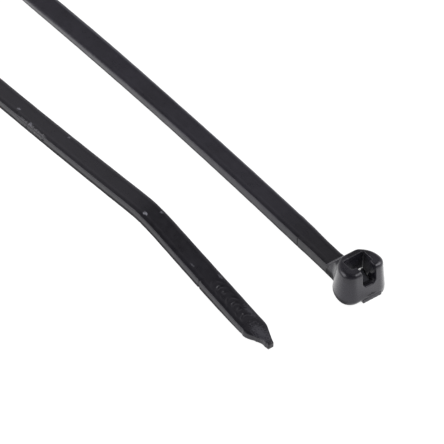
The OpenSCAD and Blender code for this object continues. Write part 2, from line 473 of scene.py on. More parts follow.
class MeshMaker:
    """Turns numpy arrays into closed, smooth-shaded Blender meshes at the origin."""

    @staticmethod
    def make(
        name: str, points: Array, quads: Array, uv: Array | None = None, tris: Array | None = None
    ) -> bpy.types.Object:
        """Make an object from arrays.

        Args:
            name: Name of the object.
            points: One row of x, y and z in millimetres for each vertex.
            quads: One row of four vertex numbers for each face.
            uv: One row of u and v for each corner of the quads and then of the triangles.
            tris: One row of three vertex numbers for each closing face.

        Returns:
            The linked object.
        """
        tris = np.empty((0, 3), dtype=np.int64) if tris is None else tris
        corners = np.concatenate([quads.ravel(), tris.ravel()]).astype(np.int32)
        totals = np.concatenate([np.full(len(quads), 4), np.full(len(tris), 3)]).astype(np.int32)
        starts = np.concatenate([[0], np.cumsum(totals)[:-1]]).astype(np.int32)
        mesh = bpy.data.meshes.new(name)
        mesh.vertices.add(len(points))
        mesh.vertices.foreach_set("co", (points * MM).astype(np.float32).ravel())
        mesh.loops.add(len(corners))
        mesh.loops.foreach_set("vertex_index", corners)
        mesh.polygons.add(len(totals))
        mesh.polygons.foreach_set("loop_start", starts)
        mesh.polygons.foreach_set("loop_total", totals)
        mesh.polygons.foreach_set("use_smooth", np.ones(len(totals), dtype=bool))
        if uv is not None:
            layer = mesh.uv_layers.new(name="strap_mm")
            layer.data.foreach_set("uv", uv.astype(np.float32).ravel())
        mesh.update(calc_edges=True)
        mesh.validate()
        thing = bpy.data.objects.new(name, mesh)
        bpy.context.scene.collection.objects.link(thing)
        return thing

    @classmethod
    def tube(cls, name: str, rings: Array, grid: Array | None = None) -> bpy.types.Object:
        """Join rings of points by quads and close both ends by fans round the middles of the end rings.

        Args:
            name: Name of the object.
            rings: Points, by ring and by place round the ring.
            grid: Values of u and v at the same places, with one more place that closes the ring.

        Returns:
            The closed mesh with outward normals.
        """
        rows, cols = rings.shape[:2]
        points = np.concatenate([rings.reshape(-1, 3), rings[0].mean(0)[None], rings[-1].mean(0)[None]])
        i = np.arange(rows - 1)[:, None] * cols
        j = np.arange(cols)
        k = (j + 1) % cols
        quads = np.stack([i + j, i + k, i + cols + k, i + cols + j], -1).reshape(-1, 4)
        base, hub = (rows - 1) * cols, np.full(cols, rows * cols)
        tris = np.concatenate([np.stack([k, j, hub], 1), np.stack([base + j, base + k, hub + 1], 1)])
        uv = None
        if grid is not None:
            uv = np.stack([grid[:-1, :-1], grid[:-1, 1:], grid[1:, 1:], grid[1:, :-1]], 2).reshape(-1, 4, 2)
        if cls.volume(points, quads) < 0:
            quads, tris = quads[:, ::-1], tris[:, ::-1]
            uv = None if uv is None else uv[:, ::-1]
        if uv is not None:
            uv = np.concatenate([uv.reshape(-1, 2), np.zeros((len(tris) * 3, 2))])
        return cls.make(name, points, quads, uv, tris)

    @staticmethod
    def volume(points: Array, quads: Array) -> float:
        """Signed volume inside the quads; it is above zero where the normals point outward.

        Args:
            points: One row of x, y and z for each vertex.
            quads: One row of four vertex numbers for each face.

        Returns:
            The volume in cubic millimetres.
        """
        a, b, c, d = (points[quads[:, i]] for i in range(4))
        first = np.einsum("ij,ij->i", a, np.cross(b, c))
        second = np.einsum("ij,ij->i", a, np.cross(c, d))
        return float((first + second).sum() / 6)


# ---- strap


@dataclass(frozen=True)
class Nick:
    """Small dent in one edge of the strap, or a bulge if its depth is below zero; s as in Route.at."""

    s: float
    side: int
    half_length: float
    depth: float


@dataclass(frozen=True)
class Chip:
    """Stretch of one rail whose outer top edge is worn down, or raised if its depth is below zero."""

    start: float
    end: float
    side: int
    depth: float
    reach: float
    lead_in: float
    lead_out: float


NICKS = (
    Nick(-2.5, 1, 0.7, -0.15),
    Nick(-1.0, 1, 0.5, 0.10),
    Nick(-10.65, 1, 0.16, 0.07),
    Nick(4.97, -1, 0.05, 0.05),
    Nick(7.2, 1, 0.35, -0.05),
)
CHIPS = (
    Chip(-45.0, -38.05, 1, 0.26, 0.34, 3.2, 0.25),
    Chip(0.3, 4.97, -1, -0.07, 0.5, 0.6, 0.08),
)


@dataclass
class StrapSkin:
    """Channelled strap with its rails, finger grips and nib."""

    route: Route
    edges: EdgeSizes = EdgeSizes()
    nicks: tuple[Nick, ...] = NICKS
    chips: tuple[Chip, ...] = CHIPS

    def stations(self) -> Array:
        """Distances of the rings, closest at the ends, the parting step, the chipped rail and the grips.

        Returns:
            The distances, from inside the neck to the tip.
        """
        at = self.route.at
        stops = (-0.3, 0.3, 4.7, 5.2, at(-46.0), at(-37.0), at(-11.0), at(-3.0), self.route.length)
        counts = (13, 24, 14, 335, 150, 110, 150, 44)
        parts = [np.linspace(a, b, n)[1:] for a, b, n in zip(stops, stops[1:], counts)]
        return np.concatenate([stops[:1], *parts])

    def channel(self, s: Array, u: Array, floor_w: Array) -> Array:
        """Depth of the channel floor under the rails.

        The floor starts at the neck and ends in a smooth slope. Near the tip the worn grips cross it as arched
        grooves: a groove's depth is the sink, times an uneven height of 0 to 1.2 that follows a ripple, times
        a smooth step of 1.35 less the distance from its middle over its half width.

        Args:
            s: Distances along the strap, one row for each ring.
            u: Places across the strap.
            floor_w: Half width of the floor.

        Returns:
            The depth at each place.
        """
        k = self.route.strap
        q = self.route.length - s
        reach = k.channel_depth * ease(s / 0.14) * ease((q - k.channel_end + 0.25) / 0.5)
        bow = k.grip_arch * (u / np.maximum(floor_w, 0.01)) ** 2
        place = (q + bow - k.grip_start) / k.grip_pitch
        nearest = np.clip(np.round(place), 0, k.grip_count - 1)
        height = np.clip(0.55 + 0.75 * ripple(nearest * 2.9 + 2.6 * u, 0.6), 0, 1.2)
        groove = height * ease(1.35 - np.abs(place - nearest) * k.grip_pitch / (k.grip_width / 2))
        return reach + k.grip_sink * groove

    def spread(self, s: Array) -> Array:
        """How far the worn edges stand out: from the neck on, more after growth_start, none round the fold.

        Args:
            s: Distances along the strap.

        Returns:
            The added half width at each distance.
        """
        e = self.edges
        flat = 1 - ease((s - e.fold_start) / e.fold_fade) * ease((e.fold_end - s) / e.fold_fade)
        grown = 1 + e.growth * ease((s - e.growth_start) / e.growth_run)
        head = e.spread * ease((s - e.head_start) / e.head_run) * grown * flat
        return np.where(s > e.middle, e.spread * flat, head)

    def section(self, s: Array) -> tuple[Array, Array, Array]:
        """Section outline for every ring.

        The outline runs across the bottom, round a foot corner, up the side, round the rail's outer corner,
        over the crowned rail, down a drafted wall, across the channel floor and back the same way. Half the
        width is the route's half width, the spread (half of it on the left), a slow wave and the nicks.

        Args:
            s: Distances of the rings.

        Returns:
            Places across, heights, and the distance round the outline from the middle of the channel.
        """
        col = s[:, None]
        wide = self.spread(col)
        wave = self.edges.wave * ripple(col * 0.9, 0.7)
        ur, vr = self._half(col, self.route.half_width(col, 1) + wide + wave - self._dent(col, 1), 1)
        ul, vl = self._half(col, self.route.half_width(col, -1) + wide / 2 - wave - self._dent(col, -1), -1)
        u = np.concatenate([ur, -ul[:, -2:0:-1]], 1)
        v = np.concatenate([vr, vl[:, -2:0:-1]], 1)
        count = ur.shape[1]
        step = np.hypot(np.diff(u, axis=1), np.diff(v, axis=1))
        run = np.concatenate([np.zeros((len(s), 1)), np.cumsum(step, 1)], 1)
        return u, v, run[:, count - 1 : count] - run

    def _half(self, s: Array, side: Array, sign: int) -> tuple[Array, Array]:
        """Outline from the middle of the bottom to the middle of the channel on one side of the strap.

        Args:
            s: Distances along the strap, one row for each ring.
            side: Half width of the strap on this side.
            sign: 1 for the right side, -1 for the left.

        Returns:
            Places across, both sides counted from the middle, and heights.
        """
        k = self.route.strap
        half_t = self.route.thickness(s) / 2
        foot = np.minimum(k.foot_r, half_t * 0.4)
        edge = np.minimum(k.edge_r, half_t * 0.4)
        rail = side - np.minimum(k.rail, side * 0.4)
        floor_w = rail - np.minimum(k.channel_draft, rail * 0.5)
        quarter = np.linspace(0, np.pi / 2, 6)[None]
        bottom = np.linspace(0, 1, 5)[None, :-1]
        climb = np.linspace(0, 1, 5)[None, 1:-1]
        wall = np.concatenate([np.linspace(0.35, 0, 3), -np.linspace(0.12, 1, 8)])[None]
        top = np.where(wall > 0, mix(rail, side - edge, wall), mix(rail, floor_w, -wall))
        floor = np.linspace(1, 0, 9)[None, 1:] * floor_w
        runs = (
            (bottom * (side - foot), -half_t + 0 * bottom),
            (side - foot + foot * np.sin(quarter), -half_t + foot * (1 - np.cos(quarter))),
            (side + 0 * climb, mix(-half_t + foot, half_t - edge, climb)),
            (side - edge + edge * np.cos(quarter), half_t - edge + edge * np.sin(quarter)),
            (top, half_t - ease(np.maximum(-wall, 0)) * self.channel(s, top, floor_w)),
            (floor, half_t - self.channel(s, floor, floor_w)),
        )
        u, v = (np.concatenate(rows, 1) for rows in zip(*runs))
        crown = np.clip(1 + (u - side) / k.crown_run, 0, 1) ** 2 * (v > 0)
        fall = np.minimum(k.crown_drop, half_t * 0.3) * ease((s - 0.1) / 0.6)
        return u, v - crown * fall - self._chip(s, u - side, v, sign)

    def _dent(self, s: Array, side: int) -> Array:
        """Depth of the nicks on one side: each is a round bump of one minus the square.

        Args:
            s: Distances along the strap.
            side: 1 for the right side, -1 for the left.

        Returns:
            The depth at each distance.
        """
        depth = np.zeros_like(s)
        for nick in self.nicks:
            if nick.side == side:
                away = (s - self.route.at(nick.s)) / nick.half_length
                depth = depth + nick.depth * np.maximum(1 - away**2, 0)
        return depth

    def _chip(self, s: Array, inset: Array, v: Array, side: int) -> Array:
        """How far the chipped rail is worn down: deepest at the outer edge, with an abrupt end and a ragged run.

        Args:
            s: Distances along the strap.
            inset: Places across the strap, less its half width.
            v: Heights in the section.
            side: 1 for the right side, -1 for the left.

        Returns:
            The drop at each place.
        """
        drop = np.zeros_like(v)
        ragged = 0.75 + 0.25 * ripple(4.6 * s, 1.1) + 0.12 * ripple(13.0 * s, 0.3)
        for chip in self.chips:
            if chip.side == side:
                start, end = self.route.at(chip.start), self.route.at(chip.end)
                run = ease((s - start) / chip.lead_in) * ease((end - s) / chip.lead_out)
                reach = np.clip(1 + inset / (chip.reach * ragged), 0, 1)
                drop = drop + chip.depth * run * ragged * reach * (v > 0)
        return drop

    def build(self, name: str) -> bpy.types.Object:
        """Sweep the section along the route: point = middle + across times u + rise times v.

        Args:
            name: Name of the object.

        Returns:
            The strap's closed mesh.
        """
        s = self.stations()
        u, v, girth = self.section(s)
        middle, across, rise = self.route.frames(np.maximum(s, 0))
        middle = middle + np.minimum(s, 0)[:, None] * np.array([-1.0, 0.0, 0.0])
        rings = middle[:, None] + across[:, None] * u[..., None] + rise[:, None] * v[..., None]
        wrap = np.concatenate([girth, -girth[:, :1]], 1)
        grid = np.stack(np.broadcast_arrays(s[:, None], wrap), -1)
        return MeshMaker.tube(name, rings, grid)


# ---- head


@dataclass
class HeadSkin:
    """Round head with its flat front, ramp, flares, passage and notch, as a signed distance shape."""

    head: HeadSizes
    strap: StrapSizes
    route: Route
    step: float = 0.062

    def radius(self, z: Array) -> Array:
        """Radius of the drafted barrel at a height, before its rounding.

        Args:
            z: Heights.

        Returns:
            The radius at each height.
        """
        h = self.head
        share = np.clip((z - h.base_round) / (h.height - h.rim_round - h.base_round), 0, 1)
        return mix(h.base_r, h.rim_r, share)

    def plan(self, x: Array, y: Array, z: Array) -> Array:
        """Distance to the outline seen from above.

        The barrel is a circle cut by the flat front, with an arc at each front corner that touches both. The
        strap's sides join it in concave arcs. Each arc rules the wedge at its centre between what it touches.

        Args:
            x: Places along the tie.
            y: Places across it.
            z: Heights.

        Returns:
            The distance at each place; it is below zero inside.
        """
        h = self.head
        px, py = x - h.centre_x, np.abs(y)
        corner_x = h.front_flat - h.front_corner_r
        corner_y = math.sqrt((h.base_r - h.front_corner_r) ** 2 - corner_x**2)
        qx, qy = px - corner_x, py - corner_y
        barrel = np.maximum(np.hypot(px, py) - h.base_r, px - h.front_flat)
        in_corner = (qy > 0) & (qx * corner_y - qy * corner_x > 0)
        barrel = np.where(in_corner, np.hypot(qx, qy) - h.front_corner_r, barrel)
        barrel = barrel + h.base_r - self.radius(z)
        cx, cy = h.flare_centre(self.strap.width)
        dx, dy = x - cx, py - cy
        ux, uy = h.centre_x - cx, -cy
        flare_r = math.hypot(ux, uy) - self.radius(z)
        neck = np.maximum(py - (cy - flare_r) - h.proud, px)
        wedge = (dx > 0) & (dx * uy - dy * ux > 0)
        return np.where(wedge, flare_r - np.hypot(dx, dy), np.minimum(barrel, neck))

    def lid(self, x: Array, z: Array) -> Array:
        """Distance above the top: the strap's top, then the ramp, then the flat rim.

        Args:
            x: Places along the tie.
            z: Heights.

        Returns:
            The distance at each place; it is below zero inside.
        """
        h = self.head
        above = z - self.strap.root_thickness
        rise = h.height - self.strap.root_thickness
        run = h.ramp_top_x - self.route.ramp_foot_x
        ramp = (above * run - (x - self.route.ramp_foot_x) * rise) / math.hypot(rise, run)
        return round_and(round_or(above - h.proud, ramp, h.ramp_fillet), z - h.height, h.rim_corner)

    def holes(self, x: Array, y: Array, z: Array) -> tuple[Array, Array]:
        """Distances into the strap's passage and into the notch of the front wall.

        Args:
            x: Places along the tie.
            y: Places across it.
            z: Heights.

        Returns:
            The two distances at each place; each is below zero inside its opening.
        """
        h = self.head
        grow = h.lead_in * np.clip(1 - z / (2 * h.lead_in), 0, 1)
        ends = np.abs(x) - h.passage_length / 2 - grow
        sides = np.abs(y) - h.passage_width / 2 - grow
        floor_z = h.height - h.notch_depth
        side = np.abs(y - h.notch_y) - h.notch_width / 2
        walls = round_and(side, floor_z - z, h.notch_corner)
        bevel = (side + floor_z + h.notch_bevel - z) / math.sqrt(2)
        notch = np.maximum(round_and(walls, bevel, h.notch_corner), -x)
        return round_and(ends, sides, h.passage_corner), notch

    def gate(self, x: Array, y: Array, z: Array) -> Array:
        """Distance to the gate's trace: a rounded box whose faces are moved in and out by two ripples.

        Args:
            x: Places along the tie.
            y: Places across it.
            z: Heights.

        Returns:
            The distance at each place; it is below zero inside.
        """
        h = self.head
        g = h.gate
        tear = g.tear * ripple(9.0 * y + 5.0 * z, 1.9) + g.fine_tear * ripple(21.0 * y - 15.0 * z, 0.4)
        ex = np.abs(x - (h.front_x - g.back)) - g.half_depth + g.edge_r - tear
        ey = np.abs(y - g.y) - g.width / 2 + g.edge_r - tear
        ez = np.abs(z - g.height / 2 - g.lift) - g.height / 2 + g.edge_r + np.abs(tear) * (z > g.whole_z)
        outside = np.sqrt(np.maximum(ex, 0) ** 2 + np.maximum(ey, 0) ** 2 + np.maximum(ez, 0) ** 2)
        return outside + np.minimum(np.maximum(np.maximum(ex, ey), ez), 0) - g.edge_r

    def distance(self, x: Array, y: Array, z: Array) -> Array:
        """Distance to the whole head.

        Outline and lid overlap with an edge rounded little at the neck and fully at the rim. The foot is
        rounded by neck_foot at the neck and by base_round round the barrel, but by base_edge at the right of
        the front. The gate's trace is added; the passage and the notch are cut away.

        Args:
            x: Places along the tie.
            y: Places across it.
            z: Heights.

        Returns:
            The distance at each place; it is below zero inside.
        """
        h = self.head
        ahead = x - self.route.ramp_foot_x
        rim = mix(h.neck_round, h.rim_round, ease(ahead / h.neck_round_run))
        body = round_and(self.plan(x, y, z), self.lid(x, z), rim)
        foot = mix(h.neck_foot, h.base_round, ease((ahead - h.base_start) / h.base_run))
        (from_x, run_x), (from_y, run_y) = h.base_edge_x, h.base_edge_y
        foot = mix(foot, h.base_edge, ease((y - from_y) / run_y) * ease((x - from_x) / run_x))
        body = round_and(body, -z, foot)
        body = round_or(body, self.gate(x, y, z), h.gate.edge_r)
        body = round_and(body, self.route.start_x - h.neck_end - x, h.neck_end)
        passage, notch = self.holes(x, y, z)
        return round_and(round_and(body, -notch, h.lip_round), -passage, h.lip_round)

    def build(self, name: str) -> bpy.types.Object:
        """Turn the shape into a mesh by surface nets and move its vertices onto the true surface.

        Args:
            name: Name of the object.

        Returns:
            The head's closed mesh.
        """
        h = self.head
        pad = 3 * self.step
        low = np.array([self.route.start_x - pad, -h.base_r - pad, -pad])
        high = np.array([h.front_x + pad, h.base_r + pad, h.height + pad])
        return MeshMaker.make(name, *SurfaceNet(self.distance, self.step).mesh(low, high))


@dataclass
class SurfaceNet:
    """Mesh of the zero surface of a distance field on a regular grid."""

    distance: Field
    step: float

    def mesh(self, low: Array, high: Array) -> tuple[Array, Array]:
        """Surface nets: one vertex in each mixed cell, one quad across each grid edge that changes sign.

        Args:
            low: Lowest corner of the grid.
            high: Highest corner of the grid.

        Returns:
            The vertices and the quads with outward normals.
        """
        axes = [np.arange(low[i], high[i] + self.step, self.step) for i in range(3)]
        x, y, z = np.meshgrid(*axes, indexing="ij", sparse=True)
        value = np.broadcast_to(self.distance(x, y, z), tuple(len(a) for a in axes))
        inside = value < 0
        cells = tuple(n - 1 for n in value.shape)
        corners = [(a, b, c) for a in (0, 1) for b in (0, 1) for c in (0, 1)]

        def block(grid: Array, corner: tuple[int, int, int]) -> Array:
            """Values of one corner of every cell."""
            return grid[tuple(slice(o, o + n) for o, n in zip(corner, cells))]

        count = sum(block(inside, c).astype(np.int8) for c in corners)
        mixed = (count > 0) & (count < 8)
        number = np.full(cells, -1, dtype=np.int64)
        number[mixed] = np.arange(int(mixed.sum()))
        at = np.argwhere(mixed)
        values = {c: block(value, c)[mixed] for c in corners}
        total = np.zeros((len(at), 3))
        hits = np.zeros(len(at))
        for a in corners:
            for axis in (i for i in range(3) if not a[i]):
                b = tuple(1 if i == axis else a[i] for i in range(3))
                cross = (values[a] < 0) != (values[b] < 0)
                spot = np.tile(np.array(a, dtype=float), (len(at), 1))
                spot[:, axis] = values[a] / np.where(cross, values[a] - values[b], 1.0)
                total += spot * cross[:, None]
                hits += cross
        points = low + (at + total / hits[:, None]) * self.step
        faces = np.concatenate([self._faces(inside, number, axis) for axis in range(3)])
        return self._settle(points), faces

    @staticmethod
    def _faces(inside: Array, number: Array, axis: int) -> Array:
        """Quads round the grid edges along one axis, turned so that their normals point outward.

        Args:
            inside: Whether each grid point is inside.
            number: Number of each cell's vertex.
            axis: Axis of the edges.

        Returns:
            One row of four vertex numbers for each face.
        """
        one, two = (axis + 1) % 3, (axis + 2) % 3
        low = [slice(1, -1)] * 3
        low[axis] = slice(0, -1)
        high = list(low)
        high[axis] = slice(1, None)
        a, b = inside[tuple(low)], inside[tuple(high)]
        at = np.argwhere(a != b)
        at[:, one] += 1
        at[:, two] += 1
        grows = a[a != b]

        def cell(d_one: int, d_two: int) -> Array:
            """Vertex numbers of the cells on one side of each edge.

            Args:
                d_one: Cells to step back along the first other axis.
                d_two: The same along the second.

            Returns:
                The vertex numbers.
            """
            p = at.copy()
            p[:, one] -= d_one
            p[:, two] -= d_two
            return number[p[:, 0], p[:, 1], p[:, 2]]

        quads = np.stack([cell(1, 1), cell(0, 1), cell(0, 0), cell(1, 0)], 1)
        quads[~grows] = quads[~grows][:, ::-1]
        return quads

    def _settle(self, points: Array) -> Array:
        """Move the vertices along the field's slope until the distance is zero.

        Args:
            points: Vertices near the surface.

        Returns:
            The moved vertices.
        """
        tiny = self.step * 0.02
        for _ in range(4):
            slope = np.empty_like(points)
            for axis in range(3):
                ahead, behind = points.copy(), points.copy()
                ahead[:, axis] += tiny
                behind[:, axis] -= tiny
                slope[:, axis] = (self.distance(*ahead.T) - self.distance(*behind.T)) / (2 * tiny)
            square = np.maximum((slope**2).sum(1), 0.25)
            move = self.distance(*points.T)[:, None] * slope / square[:, None]
            points = points - np.clip(move, -self.step, self.step)
        return points


# ---- barb


@dataclass(frozen=True)
class BarbSizes:
    """Steel barb; its slope is in degrees."""

    width: float = 0.95
    thickness: float = 0.22
    squareness: float = 0.32
    slope: float = 30.0
    tip_x: float = 0.26
    tip_drop: float = 1.0
    tip_share: float = 0.16
    tip_run: float = 0.5
    seat: float = 0.9
    cover: float = 0.5
    knee_r: float = 0.3


@dataclass
class BarbSkin:
    """Bent strip of spring steel whose leg is held in the front wall and whose sharp tip faces the strap."""

    sizes: BarbSizes
    head: HeadSizes

    def path(self) -> tuple[Array, Array]:
        """Middle line of the strip in the x-z plane: up the leg, round the knee and up to the tip.

        Returns:
            The points and the unit tangents.
        """
        b, h = self.sizes, self.head
        tip_z = h.height - b.tip_drop
        leg_x = h.front_x - b.cover - b.thickness / 2
        lean = math.radians(b.slope)
        drop = b.thickness / 2 / math.cos(lean)
        knee_z = tip_z - drop - (leg_x - b.tip_x) * math.tan(lean)
        foot_shade_z = h.height - h.notch_depth - b.seat
        turn = math.pi / 2 - lean
        bend_z = knee_z - b.knee_r * math.tan(turn / 2)
        leg = np.column_stack([np.full(10, leg_x), np.linspace(foot_shade_z, bend_z, 10)])
        angle = np.linspace(0, turn, 14)[1:]
        knee = np.column_stack([leg_x - b.knee_r * (1 - np.cos(angle)), bend_z + b.knee_r * np.sin(angle)])
        blade = knee[-1] + (np.array([b.tip_x, tip_z]) - knee[-1]) * np.linspace(0, 1, 22)[1:, None]
        points = np.concatenate([leg, knee, blade])
        tangent = np.gradient(points, axis=0)
        return points, tangent / np.linalg.norm(tangent, axis=1)[:, None]

    def build(self, name: str) -> bpy.types.Object:
        """Sweep a superellipse along the path; its thickness runs out towards the tip.

        Args:
            name: Name of the object.

        Returns:
            The barb's closed mesh.
        """
        b = self.sizes
        path, tangent = self.path()
        to_tip = np.hypot(*(path[-1] - path).T)
        thin = mix(b.tip_share, 1.0, ease(to_tip / b.tip_run))
        angle = np.linspace(0, 2 * np.pi, 33)[:-1]
        across = np.sign(np.cos(angle)) * np.abs(np.cos(angle)) ** b.squareness * b.width / 2
        rise = np.sign(np.sin(angle)) * np.abs(np.sin(angle)) ** b.squareness * b.thickness / 2
        x = path[:, :1] - tangent[:, 1:] * rise[None] * thin[:, None]
        z = path[:, 1:] + tangent[:, :1] * rise[None] * thin[:, None]
        return MeshMaker.tube(name, np.stack([x, np.broadcast_to(across[None], x.shape), z], -1))


# ---- materials


class Graph:
    """Small helper that adds and links nodes in one tree and sets them out in columns."""

    def __init__(self, tree: bpy.types.NodeTree) -> None:
        """Start with an empty first column."""
        self.tree = tree
        self._placed = 0

    @classmethod
    def of(cls, owner: bpy.types.Material | bpy.types.World) -> "Graph":
        """Graph of a material's or a world's own tree, emptied first.

        Args:
            owner: The material or the world.

        Returns:
            The graph.
        """
        owner.use_nodes = True
        owner.node_tree.nodes.clear()
        return cls(owner.node_tree)

    def add(self, kind: str, values: dict | None = None, **options: object) -> bpy.types.Node:
        """Add a node.

        Args:
            kind: Type of the node.
            values: Input names or numbers and their values; a socket is linked, anything else is set.
            options: Properties of the node.

        Returns:
            The node.
        """
        node = self.tree.nodes.new(kind)
        node.location = (220 * (self._placed // 6), -240 * (self._placed % 6))
        self._placed += 1
        for key, value in options.items():
            setattr(node, key, value)
        for key, value in (values or {}).items():
            if isinstance(value, Socket):
                self.tree.links.new(value, node.inputs[key])
            else:
                node.inputs[key].default_value = value
        return node

    def math(self, operation: str, a: object, b: object = 0.0) -> Socket:
        """Add a Math node and return its output."""
        return self.add("ShaderNodeMath", {0: a, 1: b}, operation=operation).outputs[0]

    def product(self, *values: object) -> Socket:
        """Multiply two or more values.

        Args:
            values: Sockets or numbers.

        Returns:
            The product's socket.
        """
        total = values[0]
        for value in values[1:]:
            total = self.math("MULTIPLY", total, value)
        return total

    def vector(self, operation: str, values: dict, output: str = "Vector") -> Socket:
        """Add a Vector Math node and return one of its outputs."""
        return self.add("ShaderNodeVectorMath", values, operation=operation).outputs[output]

    def span(self, value: object, span: Span) -> Socket:
        """Add a clamped, smooth Map Range node, its span two values and the levels there, and return its output."""
        values = dict(zip(("Value", "From Min", "From Max", "To Min", "To Max"), (value, *span)))
        return self.add("ShaderNodeMapRange", values, interpolation_type="SMOOTHSTEP").outputs["Result"]

    def near(self, value: object, middle: float, span: Span) -> Socket:
        """Smooth step of the distance from a middle value."""
        return self.span(self.math("ABSOLUTE", self.math("SUBTRACT", value, middle)), span)

    def swing(self, noise: Socket, size: float) -> Socket:
        """Stretch a noise to between minus and plus a size."""
        return self.span(noise, (0.3, 0.7, -size, size))

    def noise(self, vector: Socket, scale: float, detail: float = 2.0, rough: float = 0.5) -> Socket:
        """Add a Noise Texture node and return its factor."""
        values = {"Vector": vector, "Scale": scale, "Detail": detail, "Roughness": rough}
        return self.add("ShaderNodeTexNoise", values).outputs["Fac"]

    def scaled(self, vector: Socket, scale: Point) -> Socket:
        """Add a Mapping node that scales a vector and return its output."""
        return self.add("ShaderNodeMapping", {"Vector": vector, "Scale": scale}).outputs[0]

    def split(self, vector: Socket) -> tuple[Socket, Socket, Socket]:
        """Add a Separate XYZ node and return its three outputs."""
        return tuple(self.add("ShaderNodeSeparateXYZ", {0: vector}).outputs)

    def blend(self, factor: Socket, a: Colour, b: Colour) -> Socket:
        """Add a Mix node for two colours and return its output."""
        return self.add("ShaderNodeMix", {"Factor": factor, "A": a, "B": b}, data_type="RGBA").outputs["Result"]

    def place(self) -> Socket:
        """Object coordinates in millimetres."""
        return self.scaled(self.add("ShaderNodeTexCoord").outputs["Object"], (1 / MM, 1 / MM, 1 / MM))

    def flat(self) -> Socket:
        """Coordinates along and round the strap in millimetres, from its UV map."""
        return self.add("ShaderNodeUVMap", uv_map="strap_mm").outputs[0]


@dataclass(frozen=True)
class Finish:
    """Constants of one surface finish; what has a value here is that of nylon."""

    name: str
    colour: Point
    roughness: float
    specular: float
    bump: float
    bump_depth: float = 0.03
    metallic: float = 0.0
    ior: float = 1.53
    tint: Colour = (0.955, 0.935, 1.0, 1)
    coat: float = 0.0
    coat_roughness: float = 0.28
    coat_facing: tuple[float, float] = (0.35, 0.85)


class Palette(Enum):
    """Finishes of the strap, the head and the barb."""

    STRAP = Finish("strap_nylon_moulded", (0.0190, 0.0180, 0.0252), 0.34, 0.53, 0.14)
    HEAD = Finish("head_nylon_moulded", (0.0195, 0.0185, 0.0256), 0.28, 0.45, 0.12, coat=0.50)
    # The steel's near-black colour is painted shade: it keeps the barb's reflections as dark as the slot it sits
    # in.
    STEEL = Finish("spring_steel_ground", (0.012, 0.012, 0.014), 0.36, 0.50, 0.10, 0.01, 1.0, 2.5, (1, 1, 1, 1))


@dataclass(frozen=True)
class Speck:
    """Spot on the strap: a small scuff, a pit, or a broad patch of painted sheen, placed by its distance from the
    tip and its place across.
    """

    q: float
    u: float
    half_long: float
    half_wide: float
    light: float


SCUFFS_AND_SHEEN = (
    Speck(44.45, 0.50, 0.30, 0.20, 0.60),
    Speck(41.25, 1.05, 0.36, 0.22, 0.50),
    Speck(36.30, -0.80, 0.22, 0.16, 0.55),
    Speck(20.68, 0.64, 0.20, 0.22, 0.85),
    Speck(19.75, -0.85, 0.22, 0.16, 0.45),
    Speck(12.72, 0.65, 0.40, 0.12, 0.25),
    Speck(9.95, -0.90, 0.34, 0.16, 0.30),
    # A broad faint patch over the top of the tip: painted sheen, not a scuff.
    Speck(1.60, 0.05, 1.70, 0.75, 0.16),
    Speck(4.60, -0.75, 1.10, 0.28, 0.14),
)
PITS = (
    Speck(44.07, 1.00, 0.24, 0.18, 1.0),
    Speck(41.73, 1.10, 0.26, 0.18, 1.0),
    Speck(21.25, 0.16, 0.14, 0.12, 1.0),
    Speck(20.72, 0.00, 0.16, 0.12, 0.6),
    Speck(9.30, 0.95, 0.16, 0.10, 0.8),
    Speck(8.10, 0.98, 0.14, 0.10, 0.8),
    Speck(7.05, 0.60, 0.14, 0.12, 0.7),
    Speck(5.55, 0.35, 0.14, 0.12, 0.7),
)


@dataclass(frozen=True)
class HeadMarks:
    """Painted shade and light on the head, and its dull torn groove. Each span is two places and the levels there.
    """

    # Painted contact shade: duller and darker low on the head, where it meets the table; less of it towards the
    # front.
    foot_shade_z: Span = (0.60, 1.18, 0.90, 0.0)
    foot_shade_x: Span = (1.4, 2.0, 1.0, 0.12)
    groove_z: float = 0.92
    groove_half: Span = (0.05, 0.16, 0.8, 0.0)
    groove_left: Span = (-0.4, 0.0, 0.0, 1.0)
    groove_right: Span = (0.7, 1.1, 1.0, 0.0)
    groove_x: Span = (1.4, 2.0, 0.0, 1.0)
    torn_scale: Point = (3.6, 3.6, 3.6)
    torn: Span = (0.42, 0.58, 0.0, 1.0)
    torn_rise: float = 0.14
    # Painted shade on the rim, more on the crest behind the notch: it darkens the colour and dims the coat's
    # highlights there.
    rim_shade_z: Span = (3.0, 3.7, 0.0, 1.0)
    rim_shade: float = 0.22
    crest_shade_x: Span = (-0.3, 0.2, 0.60, 0.0)
    crest_shade_y: Span = (-0.7, -0.3, 0.0, 1.0)
    # Painted light: the inside of the passage is made paler than the nylon is.
    passage_light_x: Span = (0.74, 0.78, 1.0, 0.0)
    passage_light_y: Span = (1.34, 1.38, 0.8, 0.0)


